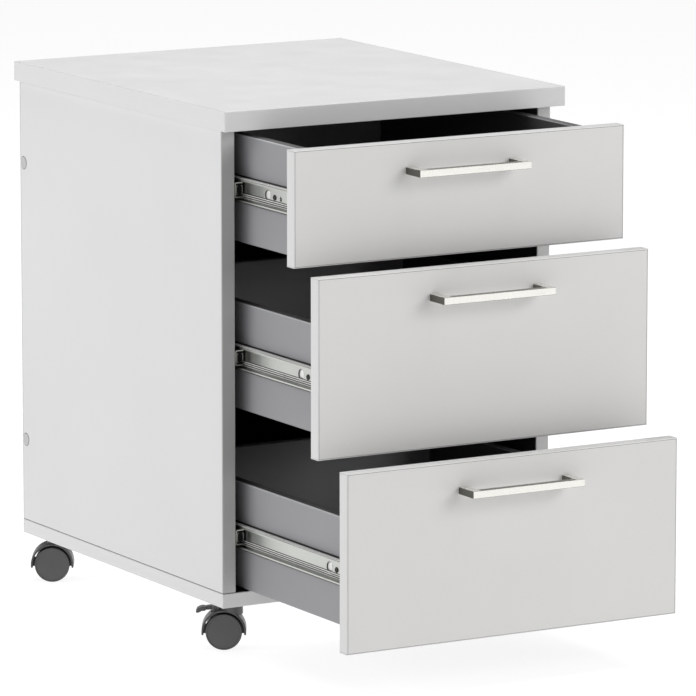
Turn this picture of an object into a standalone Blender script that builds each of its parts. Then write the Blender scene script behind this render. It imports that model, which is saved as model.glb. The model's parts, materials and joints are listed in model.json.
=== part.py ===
"""Rolling pedestal cabinet: a board carcass with three drawers, on four twin-wheel castors.

Metres, +Z up. The drawers face -Y and stand partly open, like steps, the lowest one furthest.
The origin lies on the floor, in the middle of the whole outline with the drawers as they stand.
"""

import math

import bmesh
import bpy
from mathutils import Matrix, Vector

MM = 0.001
GAP = 0.3 * MM                      # between pieces that touch

# Carcass
HEIGHT = 600 * MM
TOP_WIDTH = 427 * MM
TOP_DEPTH = 495 * MM
TOP_THICKNESS = 22 * MM
BOARD = 16 * MM
TOP_SIDE_OVERHANG = 6.5 * MM
TOP_FRONT_OVERHANG = 20 * MM
CASTOR_HEIGHT = 54 * MM

# Drawer fronts and boxes, upper, middle and lower
DRAWERS = ("upper", "middle", "lower")
FRONT_WIDTH = 410 * MM
FRONT_HEIGHTS = {"upper": 125 * MM, "middle": 193.5 * MM, "lower": 193.5 * MM}
FRONT_GAP = 4 * MM
FRONT_SETBACK = 2 * MM              # a closed front's face, behind the top's front edge
BOX_LIFT = {"upper": 4 * MM, "middle": 18.5 * MM, "lower": 18.5 * MM}
BOX_HEIGHT = 117 * MM
BOX_LENGTH = 450 * MM
BOX_SIDE = 12 * MM
BOX_WIDTH = 356 * MM
BOTTOM_THICKNESS = 6 * MM
BOTTOM_LIFT = 10 * MM
GROOVE_DEPTH = 5 * MM

# How far each drawer is pulled out
PULLS = {"upper": 136.5 * MM, "middle": 187 * MM, "lower": 247.5 * MM}

# Ball-bearing slides
RUNNER_LENGTH = 400 * MM
FULL_TRAVEL = 300 * MM
STEEL = 1.2 * MM
DRAWER_RUNNER_HEIGHT = 27 * MM
DRAWER_RUNNER_WIDTH = 8.2 * MM
RUNNER_LIP = 3.2 * MM
CABINET_RUNNER_HEIGHT = 17 * MM
CABINET_RUNNER_REACH = 3 * MM       # its flange tips, from the drawer box
CAGE_LENGTH = 90 * MM
CAGE_END_MARGIN = 5 * MM
CAGE_WEB = 0.8 * MM
ACCESS_HOLE = 12 * MM
ACCESS_HOLE_BEHIND_FRONT = {"upper": 86 * MM, "middle": 65 * MM, "lower": 65 * MM}
SCREW_HOLE = 4.4 * MM
SCREW_HOLE_STEPS = (15 * MM, 28.5 * MM)

# Handles
HANDLE_LENGTH = 138 * MM
HANDLE_BAR = 8 * MM
HANDLE_LEG = 10 * MM
HANDLE_PROJECTION = 30.5 * MM
HANDLE_DROP = 26.5 * MM             # below the front's top edge

# Castors: t runs from the swivel axis towards the wheels, v along the axle
CASTOR_X = 176.5 * MM
CASTOR_FRONT_INSET = 38 * MM
CASTOR_REAR_INSET = 29 * MM
CASTOR_HEADING = math.radians(150)
TRAIL = 7.5 * MM
WHEEL_RADIUS = 20.1 * MM
WHEEL_SEGMENTS = 32
WHEEL_INNER = 3.2 * MM
WHEEL_OUTER = 12.9 * MM
AXLE_RADIUS = 3 * MM
HOOD_RADIUS = 24.5 * MM
HOOD_THICKNESS = 2.2 * MM
HOOD_HALF_WIDTH = 13 * MM
HOOD_SKIRT = 3.5 * MM               # how far the hood's arms reach below the axle
WEB_HALF = 2.9 * MM
BLOCK_RADIUS = 13.5 * MM
BLOCK_BELOW_TOP = 12.5 * MM
PLATE_SIDE = 38 * MM
PLATE_THICKNESS = 2 * MM
PLATE_SCREW_PITCH = 28 * MM
SWIVEL_PIN_RADIUS = 3.5 * MM
RIVET_HEAD_RADIUS = 5.5 * MM
RIVET_HEAD_THICKNESS = 0.8 * MM

# Brake lever, from the wheel's centre
LEVER_PIVOT_T = 9 * MM
LEVER_PIVOT_UP = 26 * MM
LEVER_BARREL_RADIUS = 2.5 * MM
LEVER_HALF_WIDTH = 4.6 * MM
LEVER_TRUNNION_RADIUS = 1.4 * MM
LEVER_TRUNNION_REACH = 7.4 * MM
LUG_INNER = 4.9 * MM
LUG_OUTER = 7.9 * MM
LUG_RADIUS = 4.2 * MM

# Derived places
CARCASS_WIDTH = TOP_WIDTH - 2 * TOP_SIDE_OVERHANG
SIDE_INNER_X = CARCASS_WIDTH / 2 - BOARD
TOP_UNDERSIDE = HEIGHT - TOP_THICKNESS
FLOOR_BOARD_TOP = CASTOR_HEIGHT + BOARD
REACH = PULLS["lower"] - FRONT_SETBACK + HANDLE_PROJECTION
TOP_FRONT_Y = (REACH - TOP_DEPTH) / 2
TOP_BACK_Y = TOP_FRONT_Y + TOP_DEPTH
CARCASS_FRONT_Y = TOP_FRONT_Y + TOP_FRONT_OVERHANG
FRONT_FACE_Y = TOP_FRONT_Y + FRONT_SETBACK
FRONT_BACK_Y = FRONT_FACE_Y + BOARD
BOX_REAR_Y = FRONT_BACK_Y + GAP + BOX_LENGTH
BOX_OUTER_X = BOX_WIDTH / 2
BOX_INNER_X = BOX_OUTER_X - BOX_SIDE
AXLE_HEIGHT = WHEEL_RADIUS * math.cos(math.pi / WHEEL_SEGMENTS)
BLOCK_TOP = CASTOR_HEIGHT - PLATE_THICKNESS - 2 * GAP
RIVET_HEAD_TOP = CASTOR_HEIGHT - 2 * GAP
RIVET_HEAD_BOTTOM = RIVET_HEAD_TOP - RIVET_HEAD_THICKNESS

MATERIALS = {
    "white_board": ((0.72, 0.72, 0.73), 0.45, 0.0),
    "front_board": ((0.66, 0.655, 0.65), 0.42, 0.0),
    "grey_drawer_board": ((0.30, 0.30, 0.32), 0.5, 0.0),
    "dark_drawer_bottom": ((0.045, 0.045, 0.045), 0.6, 0.0),
    "zinc_steel": ((0.62, 0.63, 0.64), 0.32, 1.0),
    "black_plastic": ((0.02, 0.02, 0.02), 0.45, 0.0),
    "brushed_nickel": ((0.75, 0.74, 0.72), 0.28, 1.0),
    "castor_plastic": ((0.09, 0.09, 0.09), 0.42, 0.0),
    "wheel_plastic": ((0.11, 0.11, 0.11), 0.5, 0.0),
}


def clear_scene():
    for item in list(bpy.data.objects):
        bpy.data.objects.remove(item, do_unlink=True)


def new_collection(name):
    collection = bpy.data.collections.new(name)
    bpy.context.scene.collection.children.link(collection)
    return collection


def principled(name):
    colour, roughness, metallic = MATERIALS[name]
    material = bpy.data.materials.get(name)
    if material is None:
        material = bpy.data.materials.new(name)
        material.use_nodes = True
        shader = material.node_tree.nodes["Principled BSDF"]
        shader.inputs["Base Color"].default_value = (*colour, 1.0)
        shader.inputs["Roughness"].default_value = roughness
        shader.inputs["Metallic"].default_value = metallic
    return material


# ---- meshes -------------------------------------------------------------------------------

def box_mesh(low, high):
    """A box between two corners."""
    low = Vector(low)
    high = Vector(high)
    place = Matrix.Translation((low + high) / 2) @ Matrix.Diagonal((*(high - low), 1.0))
    bm = bmesh.new()
    bmesh.ops.create_cube(bm, size=1.0, matrix=place)
    return finished_mesh(bm)


def cylinder_mesh(radius, start, end, segments):
    """A closed cylinder from one point to another."""
    start = Vector(start)
    end = Vector(end)
    axis = end - start
    place = Matrix.Translation((start + end) / 2) @ axis.to_track_quat("Z", "Y").to_matrix().to_4x4()
    bm = bmesh.new()
    bmesh.ops.create_cone(bm, cap_ends=True, segments=segments, radius1=radius, radius2=radius,
                          depth=axis.length, matrix=place)
    return finished_mesh(bm)


def finished_mesh(bm):
    mesh = bpy.data.meshes.new("mesh")
    bm.to_mesh(mesh)
    bm.free()
    return mesh


def extruded_mesh(outline, thickness, place):
    """A flat outline in the XY plane, thickened equally up and down, then moved by a matrix."""
    curve = bpy.data.curves.new("outline", "CURVE")
    curve.dimensions = "2D"
    curve.fill_mode = "BOTH"
    curve.extrude = thickness / 2
    spline = curve.splines.new("POLY")
    spline.points.add(len(outline) - 1)
    for point, (x, y) in zip(spline.points, outline):
        point.co = (x, y, 0.0, 1.0)
    spline.use_cyclic_u = True
    guide = bpy.data.objects.new("outline", curve)
    mesh = evaluated_mesh(guide)
    bpy.data.curves.remove(curve)
    bm = bmesh.new()
    bm.from_mesh(mesh)
    bmesh.ops.remove_doubles(bm, verts=bm.verts, dist=1e-6)
    bmesh.ops.dissolve_limit(bm, angle_limit=0.001, verts=bm.verts, edges=bm.edges)
    bmesh.ops.transform(bm, matrix=place, verts=bm.verts)
    bmesh.ops.recalc_face_normals(bm, faces=bm.faces)
    bm.to_mesh(mesh)
    bm.free()
    return mesh


def evaluated_mesh(item):
    """The mesh of an object after its modifiers; the object itself is removed."""
    bpy.context.scene.collection.objects.link(item)
    bpy.context.view_layer.update()
    graph = bpy.context.evaluated_depsgraph_get()
    mesh = bpy.data.meshes.new_from_object(item.evaluated_get(graph), depsgraph=graph)
    bpy.data.objects.remove(item, do_unlink=True)
    return mesh


def boolean_mesh(mesh, steps):
    """Joins and cuts a mesh in turn; steps are pairs of an operation and a tool mesh."""
    for operation, tool_mesh in steps:
        body = bpy.data.objects.new("body", mesh)
        tool = bpy.data.objects.new("tool", tool_mesh)
        tool.hide_render = True
        tool.display_type = "WIRE"
        TOOLS.objects.link(tool)
        modifier = body.modifiers.new(operation.lower(), "BOOLEAN")
        modifier.operation = operation
        modifier.solver = "EXACT"
        modifier.object = tool
        mesh = evaluated_mesh(body)
        bpy.data.objects.remove(tool, do_unlink=True)
    return mesh


def turned_mesh(profile, segments):
    """A profile of (radius, height) points, turned about Z with the Screw modifier."""
    outline = bpy.data.meshes.new("profile")
    verts = [(radius, 0.0, height) for radius, height in profile]
    edges = [(i, i + 1) for i in range(len(verts) - 1)]
    outline.from_pydata(verts, edges, [])
    item = bpy.data.objects.new("profile", outline)
    screw = item.modifiers.new("turn", "SCREW")
    screw.steps = segments
    screw.render_steps = segments
    screw.use_merge_vertices = True
    screw.merge_threshold = 0.00001
    return evaluated_mesh(item)


# ---- objects ------------------------------------------------------------------------------

def add_piece(name, mesh, material, parent=None, smooth_angle=None):
    mesh.materials.clear()
    mesh.materials.append(principled(material))
    if smooth_angle is not None:
        mesh.shade_smooth()
        mesh.set_sharp_from_angle(angle=math.radians(smooth_angle))
    item = bpy.data.objects.new(name, mesh)
    item.parent = parent
    PARTS.objects.link(item)
    return item


def add_frame(name, matrix, parent=None):
    """An empty that carries the pieces of one moving body."""
    empty = bpy.data.objects.new(name, None)
    empty.empty_display_size = 0.02
    empty.parent = parent
    empty.matrix_local = matrix
    PARTS.objects.link(empty)
    return empty


# ---- carcass ------------------------------------------------------------------------------

def build_carcass():
    half = CARCASS_WIDTH / 2
    add_piece("top_panel",
              box_mesh((-TOP_WIDTH / 2, TOP_FRONT_Y, TOP_UNDERSIDE), (TOP_WIDTH / 2, TOP_BACK_Y, HEIGHT)),
              "white_board")
    add_piece("bottom_panel",
              box_mesh((-half, CARCASS_FRONT_Y, CASTOR_HEIGHT), (half, TOP_BACK_Y, FLOOR_BOARD_TOP)),
              "white_board")
    wall_bottom = FLOOR_BOARD_TOP + GAP
    wall_top = TOP_UNDERSIDE - GAP
    for side, sign in (("left", -1), ("right", 1)):
        low_x, high_x = sorted((sign * SIDE_INNER_X, sign * half))
        add_piece(side + "_side_panel",
                  box_mesh((low_x, CARCASS_FRONT_Y, wall_bottom), (high_x, TOP_BACK_Y, wall_top)),
                  "white_board")
    back_x = SIDE_INNER_X - GAP
    add_piece("back_panel",
              box_mesh((-back_x, TOP_BACK_Y - BOARD, wall_bottom), (back_x, TOP_BACK_Y, wall_top)),
              "white_board")


# ---- drawers ------------------------------------------------------------------------------

def front_bottoms():
    """The underside of each drawer front, counted down from the top panel."""
    bottoms = {}
    height = TOP_UNDERSIDE
    for level in DRAWERS:
        height -= FRONT_GAP + FRONT_HEIGHTS[level]
        bottoms[level] = height
    return bottoms


def across(sign=1):
    """Takes an outline drawn in (x, z) to the XZ plane, mirrored for the left side."""
    return Matrix(((sign, 0, 0, 0), (0, 0, 1, 0), (0, 1, 0, 0), (0, 0, 0, 1)))


def bar_along_y(outline, front_y, rear_y, sign=1):
    """An (x, z) outline drawn out from one Y to another."""
    place = Matrix.Translation((0, (front_y + rear_y) / 2, 0)) @ across(sign)
    return extruded_mesh(outline, rear_y - front_y, place)


def build_box(level, base, drawer):
    """The box behind a front: two grooved sides, a grooved back and the bottom in the grooves."""
    start = FRONT_BACK_Y + GAP
    top = base + BOX_HEIGHT
    groove_low = base + BOTTOM_LIFT - GAP
    groove_high = base + BOTTOM_LIFT + BOTTOM_THICKNESS + GAP
    groove_x = BOX_INNER_X + GROOVE_DEPTH
    side_outline = [
        (BOX_OUTER_X, base), (BOX_OUTER_X, top), (BOX_INNER_X, top), (BOX_INNER_X, groove_high),
        (groove_x, groove_high), (groove_x, groove_low), (BOX_INNER_X, groove_low), (BOX_INNER_X, base),
    ]
    for side, sign in (("left", -1), ("right", 1)):
        add_piece(f"{level}_drawer_{side}_side", bar_along_y(side_outline, start, BOX_REAR_Y, sign),
                  "grey_drawer_board", drawer)

    back_front_y = BOX_REAR_Y - BOX_SIDE
    groove_y = back_front_y + GROOVE_DEPTH
    back_outline = [
        (BOX_REAR_Y, base), (BOX_REAR_Y, top), (back_front_y, top), (back_front_y, groove_high),
        (groove_y, groove_high), (groove_y, groove_low), (back_front_y, groove_low), (back_front_y, base),
    ]
    inner = BOX_INNER_X - GAP
    along_x = Matrix(((0, 0, 1, 0), (1, 0, 0, 0), (0, 1, 0, 0), (0, 0, 0, 1)))
    add_piece(f"{level}_drawer_back", extruded_mesh(back_outline, 2 * inner, along_x),
              "grey_drawer_board", drawer)

    edge = groove_x - GAP
    low = base + BOTTOM_LIFT
    add_piece(f"{level}_drawer_bottom",
              box_mesh((-edge, start, low), (edge, groove_y - GAP, low + BOTTOM_THICKNESS)),
              "dark_drawer_bottom", drawer)


def build_handle(level, front_top, drawer):
    half = HANDLE_LENGTH / 2
    leg = half - HANDLE_LEG
    foot = FRONT_FACE_Y - GAP
    bar_front = FRONT_FACE_Y - HANDLE_PROJECTION
    bar_back = bar_front + HANDLE_BAR
    outline = [
        (-half, foot), (-half, bar_front), (half, bar_front), (half, foot),
        (leg, foot), (leg, bar_back), (-leg, bar_back), (-leg, foot),
    ]
    middle = front_top - HANDLE_DROP - HANDLE_BAR / 2
    add_piece(f"{level}_handle", extruded_mesh(outline, HANDLE_BAR, Matrix.Translation((0, 0, middle))),
              "brushed_nickel", drawer)


# Runner outlines: x runs outwards from the drawer box, z up from the slide's middle.

def drawer_runner_outline(middle):
    web = BOX_OUTER_X + GAP
    inside = web + STEEL
    tip = web + DRAWER_RUNNER_WIDTH
    lip = tip - STEEL
    outer = DRAWER_RUNNER_HEIGHT / 2
    inner = outer - STEEL
    end = outer - RUNNER_LIP
    upper = [(inside, inner), (lip, inner), (lip, end), (tip, end), (tip, outer), (web, outer)]
    lower = [(x, -z) for x, z in reversed(upper)]
    return [(x, middle + z) for x, z in lower + upper]


def cabinet_runner_outline(middle):
    web = SIDE_INNER_X - GAP
    inside = web - STEEL
    tip = BOX_OUTER_X + CABINET_RUNNER_REACH
    outer = CABINET_RUNNER_HEIGHT / 2
    inner = outer - STEEL
    upper = [(inside, inner), (tip, inner), (tip, outer), (web, outer)]
    lower = [(x, -z) for x, z in reversed(upper)]
    return [(x, middle + z) for x, z in lower + upper]


def ball_cage_outline(middle):
    web = BOX_OUTER_X + STEEL + 2 * GAP
    inside = web + CAGE_WEB
    tip = BOX_OUTER_X + GAP + DRAWER_RUNNER_WIDTH - STEEL - GAP
    outer = DRAWER_RUNNER_HEIGHT / 2 - STEEL - GAP
    inner = CABINET_RUNNER_HEIGHT / 2 + GAP
    upper = [(inside, inner), (tip, inner), (tip, outer), (web, outer)]
    lower = [(x, -z) for x, z in reversed(upper)]
    return [(x, middle + z) for x, z in lower + upper]


def runner_hole(diameter, sign, y, z, segments):
    wall = sign * BOX_OUTER_X
    reach = sign * (BOX_OUTER_X + 3 * STEEL)
    return cylinder_mesh(diameter / 2, (wall, y, z), (reach, y, z), segments)


def build_slide(level, base, drawer):
    """A slide on each side: runner on the cabinet, runner on the drawer, ball cage between."""
    middle = base + BOX_HEIGHT / 2
    start = CARCASS_FRONT_Y
    end = start + RUNNER_LENGTH
    hole_y = FRONT_BACK_Y + ACCESS_HOLE_BEHIND_FRONT[level]
    cage_start = start + FULL_TRAVEL / 2 + CAGE_END_MARGIN
    for side, sign in (("left", -1), ("right", 1)):
        name = f"{level}_{side}"
        add_piece(name + "_cabinet_runner", bar_along_y(cabinet_runner_outline(middle), start, end, sign),
                  "zinc_steel")
        cuts = [("DIFFERENCE", runner_hole(ACCESS_HOLE, sign, hole_y, middle, 24))]
        for step in SCREW_HOLE_STEPS:
            cuts.append(("DIFFERENCE", runner_hole(SCREW_HOLE, sign, hole_y - step, middle, 12)))
        runner = bar_along_y(drawer_runner_outline(middle), start, end, sign)
        add_piece(name + "_drawer_runner", boolean_mesh(runner, cuts), "zinc_steel", drawer)
        cage = add_frame(name + "_cage_frame", Matrix.Translation((0, -PULLS[level] / 2, 0)))
        add_piece(name + "_ball_cage",
                  bar_along_y(ball_cage_outline(middle), cage_start, cage_start + CAGE_LENGTH, sign),
                  "black_plastic", cage)


def build_drawers():
    half = FRONT_WIDTH / 2
    for level, bottom in front_bottoms().items():
        drawer = add_frame(level + "_drawer_frame", Matrix.Translation((0, -PULLS[level], 0)))
        top = bottom + FRONT_HEIGHTS[level]
        add_piece(level + "_drawer_front", box_mesh((-half, FRONT_FACE_Y, bottom), (half, FRONT_BACK_Y, top)),
                  "front_board", drawer)
        build_box(level, bottom + BOX_LIFT[level], drawer)
        build_handle(level, top, drawer)
        build_slide(level, bottom + BOX_LIFT[level], drawer)


# ---- castors ------------------------------------------------------------------------------
# Castor meshes lie about their own swivel axis, with the floor at z = 0.

def plate_mesh():
    """The screwed plate, bored for the swivel pin and sunk for its riveted head."""
    half = PLATE_SIDE / 2
    top = CASTOR_HEIGHT - GAP
    low = top - PLATE_THICKNESS
    seat = RIVET_HEAD_BOTTOM - GAP
    bore = cylinder_mesh(SWIVEL_PIN_RADIUS + GAP, (0, 0, low - STEEL), (0, 0, top + STEEL), 24)
    sink = cylinder_mesh(RIVET_HEAD_RADIUS + GAP, (0, 0, seat), (0, 0, top + STEEL), 24)
    steps = [("DIFFERENCE", bore), ("DIFFERENCE", sink)]
    for x in (-PLATE_SCREW_PITCH / 2, PLATE_SCREW_PITCH / 2):
        for y in (-PLATE_SCREW_PITCH / 2, PLATE_SCREW_PITCH / 2):
            hole = cylinder_mesh(SCREW_HOLE / 2, (x, y, low - STEEL), (x, y, top + STEEL), 12)
            steps.append(("DIFFERENCE", hole))
    return boolean_mesh(box_mesh((-half, -half, low), (half, half, top)), steps)


def housing_mesh(braked):
    """Hood, centre web, swivel block, its pin and a pressed-in axle; a braked one has lugs and a slot."""
    centre = Vector((TRAIL, 0, AXLE_HEIGHT))
    width = Vector((0, HOOD_HALF_WIDTH, 0))
    hood = cylinder_mesh(HOOD_RADIUS, centre - width, centre + width, 40)
    block = cylinder_mesh(BLOCK_RADIUS, (0, 0, BLOCK_TOP - BLOCK_BELOW_TOP), (0, 0, BLOCK_TOP), 32)
    pin = cylinder_mesh(SWIVEL_PIN_RADIUS, (0, 0, BLOCK_TOP - STEEL), (0, 0, RIVET_HEAD_TOP), 24)
    head = cylinder_mesh(RIVET_HEAD_RADIUS, (0, 0, RIVET_HEAD_BOTTOM), (0, 0, RIVET_HEAD_TOP), 24)
    steps = [("UNION", block), ("UNION", pin), ("UNION", head)]
    pivot = centre + Vector((LEVER_PIVOT_T, 0, LEVER_PIVOT_UP))
    if braked:
        for sign in (-1, 1):
            lug = cylinder_mesh(LUG_RADIUS, pivot + Vector((0, sign * LUG_INNER, 0)),
                                pivot + Vector((0, sign * LUG_OUTER, 0)), 20)
            steps.append(("UNION", lug))
    for sign in (-1, 1):
        chamber = cylinder_mesh(HOOD_RADIUS - HOOD_THICKNESS, centre + Vector((0, sign * WEB_HALF, 0)),
                                centre + sign * (width + Vector((0, STEEL, 0))), 40)
        steps.append(("DIFFERENCE", chamber))
    big = 2 * HOOD_RADIUS
    boss = 2.2 * AXLE_RADIUS
    low = AXLE_HEIGHT - HOOD_SKIRT
    for x0, x1 in ((TRAIL - big, TRAIL - boss), (TRAIL + boss, TRAIL + big)):
        steps.append(("DIFFERENCE", box_mesh((x0, -big, AXLE_HEIGHT - big), (x1, big, low))))
    steps.append(("DIFFERENCE",
                  box_mesh((TRAIL - big, -big, AXLE_HEIGHT - big), (TRAIL + big, big, AXLE_HEIGHT - boss))))
    steps.append(("DIFFERENCE", web_window_mesh(centre)))
    if braked:
        slot_low = pivot + Vector((-2.2 * MM, -LUG_INNER, -10.5 * MM))
        slot_high = pivot + Vector((5 * MM, LUG_INNER, 0))
        steps.append(("DIFFERENCE", box_mesh(slot_low, slot_high)))
        barrel_room = LEVER_BARREL_RADIUS + 2 * GAP
        room = cylinder_mesh(barrel_room, pivot - Vector((0, LUG_INNER, 0)), pivot + Vector((0, LUG_INNER, 0)), 20)
        steps.append(("DIFFERENCE", room))
        reach = Vector((0, LUG_OUTER + STEEL, 0))
        steps.append(("DIFFERENCE", cylinder_mesh(LEVER_TRUNNION_RADIUS + GAP, pivot - reach, pivot + reach, 12)))
    axle_reach = Vector((0, WHEEL_OUTER - 3 * MM, 0))
    steps.append(("UNION", cylinder_mesh(AXLE_RADIUS, centre - axle_reach, centre + axle_reach, 16)))
    return boolean_mesh(hood, steps)


def web_window_mesh(centre):
    """The narrow window between the web and the hood's trailing arm."""
    tilt = Matrix.Rotation(-math.radians(32), 4, "Y")
    radius = HOOD_RADIUS - HOOD_THICKNESS - 1.2 * MM
    mesh = box_mesh((radius - 1.2 * MM, -4 * MM, -5 * MM), (radius + 1.1 * MM, 4 * MM, 5 * MM))
    mesh.transform(Matrix.Translation(centre) @ tilt)
    return mesh


def wheel_mesh():
    """One wheel of a pair, about its own axle on Z, its closed outer face at the top."""
    half = (WHEEL_OUTER - WHEEL_INNER) / 2
    bore = AXLE_RADIUS + GAP
    blind = half - 2.4 * MM
    rim = WHEEL_RADIUS
    profile = [
        (0, half), (0.86 * rim, half), (0.96 * rim, half - 0.5 * MM), (rim, half - 1.7 * MM),
        (rim, -half + 0.8 * MM), (0.96 * rim, -half), (bore, -half), (bore, blind), (0, blind),
    ]
    return turned_mesh(profile, WHEEL_SEGMENTS)


def lever_mesh():
    """Barrel with trunnions, brake nose and pedal, about the pivot, with t along X and the axle along Y."""
    half = Vector((0, LEVER_HALF_WIDTH, 0))
    barrel = cylinder_mesh(LEVER_BARREL_RADIUS, -half, half, 20)
    trunnion = Vector((0, LEVER_TRUNNION_REACH, 0))
    nose = [(-0.6, -1.5), (3.4, -1.0), (3.1, -8.0), (0.5, -6.7)]
    arm = [(-0.5, 1.9), (9, 1.2), (13, 0.4), (13, -3.4), (9, -2.6), (0.5, -1.9)]
    pedal = [(11, 1.0), (16, 0.3), (19, -1.2), (21.4, -4.0), (21.0, -6.2), (17.5, -5.2), (11, -3.4)]
    flat = Matrix(((1, 0, 0, 0), (0, 0, 1, 0), (0, 1, 0, 0), (0, 0, 0, 1)))
    steps = [("UNION", cylinder_mesh(LEVER_TRUNNION_RADIUS, -trunnion, trunnion, 12))]
    for outline, half_width in ((nose, 4.3 * MM), (arm, 4.5 * MM), (pedal, 6.5 * MM)):
        points = [(x * MM, z * MM) for x, z in outline]
        steps.append(("UNION", extruded_mesh(points, 2 * half_width, flat)))
    return boolean_mesh(barrel, steps)


def build_castors():
    plate = plate_mesh()
    wheel = wheel_mesh()
    housings = {True: housing_mesh(True), False: housing_mesh(False)}
    lever = lever_mesh()
    places = {"front": CARCASS_FRONT_Y + CASTOR_FRONT_INSET, "rear": TOP_BACK_Y - CASTOR_REAR_INSET}
    wheel_middle = (WHEEL_INNER + WHEEL_OUTER) / 2
    facet = Matrix.Rotation(math.pi / WHEEL_SEGMENTS, 4, "Z")
    for end, y in places.items():
        for side, sign in (("left", -1), ("right", 1)):
            name = f"{end}_{side}_castor"
            spot = Matrix.Translation((sign * CASTOR_X, y, 0))
            fixed = add_piece(name + "_plate", plate, "zinc_steel", smooth_angle=30)
            fixed.matrix_local = spot
            swivel = add_frame(name + "_swivel", spot @ Matrix.Rotation(CASTOR_HEADING, 4, "Z"))
            braked = end == "front"
            add_piece(name + "_housing", housings[braked], "castor_plastic", swivel, smooth_angle=30)
            for letter, turn in (("a", -1), ("b", 1)):
                piece = add_piece(f"{name}_wheel_{letter}", wheel, "wheel_plastic", swivel, smooth_angle=30)
                hub = Matrix.Translation((TRAIL, -turn * wheel_middle, AXLE_HEIGHT))
                piece.matrix_local = hub @ Matrix.Rotation(turn * math.pi / 2, 4, "X") @ facet
            if braked:
                piece = add_piece(name + "_brake_lever", lever, "castor_plastic", swivel, smooth_angle=30)
                piece.location = (TRAIL + LEVER_PIVOT_T, 0, AXLE_HEIGHT + LEVER_PIVOT_UP)


clear_scene()
PARTS = new_collection("rolling_pedestal_cabinet")
TOOLS = new_collection("cutters")
build_carcass()
build_drawers()
build_castors()
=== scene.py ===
"""Looks of the rolling pedestal cabinet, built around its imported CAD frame.

Metres, +Z up, in the frame's own axes: the drawers face -Y. Each piece is modelled in place, so an
object sits at the origin and its Object texture coordinates are metres of the whole cabinet.
"""

import json
import math

import bmesh
import bpy
from mathutils import Matrix, Vector


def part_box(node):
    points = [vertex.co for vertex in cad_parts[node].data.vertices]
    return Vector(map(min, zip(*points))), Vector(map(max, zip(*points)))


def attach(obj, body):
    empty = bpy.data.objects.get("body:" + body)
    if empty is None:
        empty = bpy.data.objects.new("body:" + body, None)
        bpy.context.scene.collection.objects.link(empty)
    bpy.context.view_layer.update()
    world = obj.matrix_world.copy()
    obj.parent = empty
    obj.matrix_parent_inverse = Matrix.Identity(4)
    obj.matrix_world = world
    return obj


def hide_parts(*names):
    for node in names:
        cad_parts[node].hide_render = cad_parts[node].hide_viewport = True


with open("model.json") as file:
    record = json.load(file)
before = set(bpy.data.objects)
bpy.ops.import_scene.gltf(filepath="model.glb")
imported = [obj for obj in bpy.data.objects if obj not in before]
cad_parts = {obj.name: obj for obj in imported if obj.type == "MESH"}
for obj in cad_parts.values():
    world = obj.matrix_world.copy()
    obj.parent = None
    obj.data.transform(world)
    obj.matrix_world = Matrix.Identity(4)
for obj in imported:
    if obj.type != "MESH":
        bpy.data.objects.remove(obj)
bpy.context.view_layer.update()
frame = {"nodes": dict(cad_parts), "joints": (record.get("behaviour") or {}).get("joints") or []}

MM = 0.001
NODES = frame["nodes"]
JOINTS = {joint["name"]: joint for joint in frame["joints"]}
LEVELS = ("upper", "middle", "lower")
SIDES = (("left", -1), ("right", 1))
CASTORS = [(end, side) for end in ("front", "rear") for side, _ in SIDES]

# Directions, as an axis and a sign
LEFTWARD, RIGHTWARD = (0, -1), (0, 1)
FORWARD, BACKWARD = (1, -1), (1, 1)
DOWNWARD, UPWARD = (2, -1), (2, 1)

# Boards
BAND = 1.0 * MM                     # thickness of an edge band
SEAM = 0.45 * MM                    # glue line between a band and its board
GLUE_DEPTH = 0.12 * MM
JOINT = 0.6 * MM                    # the gap above and below an upright board, its glue strip dark as painted shade
BAND_ROUND = 0.8 * MM
FINE_EDGE = 0.12 * MM

# Drawer boxes
BOX_ROUND = 1.4 * MM                # along the top of a drawer box
FOOT_ROUND = 0.3 * MM
GROOVE_ROUND = 0.2 * MM
GROOVE_CLEAR = 0.3 * MM             # the bottom board's room in its groove
SLIDE_MARGIN = 1.1 * MM             # the painted shade strip that shows above and below a slide

# Cover caps
CAP_RADIUS = 7 * MM
CAP_THICKNESS = 0.7 * MM
CAP_GAP = 0.6 * MM                  # the painted shade at the edge of the hole around a cap
CAP_SEAT_DEPTH = 0.06 * MM
CAP_FROM_BACK = 8.5 * MM
CAP_HEIGHTS = {"upper": 484 * MM, "lower": 164 * MM}

# Handles
HANDLE_BAR = 8 * MM
HANDLE_LEG = 10 * MM
HANDLE_FILLET = 5 * MM
HANDLE_CORNER = 0.5 * MM
HANDLE_EDGE = 0.35 * MM
HANDLE_HOLES = 128 * MM             # between the centres of a handle's two screws
HANDLE_SCREW = (3.8 * MM, 2.4 * MM) # radius and height of a head

# Slides
STEEL = 1.2 * MM
LIP = 3.0 * MM
LIP_SHADE = 1.4 * MM                # the painted shade at the foot of a lip
LIP_BEND = 0.9 * MM
RACE_ROUND = 2.6 * MM
CABINET_RACE_ROUND = 1.8 * MM
BEAD_FOOT = 4.2 * MM                # from the slide's lower edge to its first bead
BEAD_STEP = 2.2 * MM
BEADS = 3
BEAD_HALF = 0.65 * MM
BEAD_RISE = 0.4 * MM
HOLE_RADIUS = 6 * MM
SCREW_HOLE_RADIUS = 2.2 * MM
HOLE_BEHIND_FRONT = {"upper": 86 * MM, "middle": 65 * MM, "lower": 65 * MM}
SCREW_STEP = 15 * MM
NAIL_STEP = 28.5 * MM
SLIDE_SCREW = (3.2 * MM, 1.2 * MM)  # radius and height of a head
STOP_LENGTH = 14 * MM
STOP_HALF_HEIGHT = 6.6 * MM
CLIP_HALF_HEIGHT = 4.6 * MM
BALL_RADIUS = 1.75 * MM
BALL_FROM_EDGE = 1.6 * MM
BALLS_IN_A_ROW = 9

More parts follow.
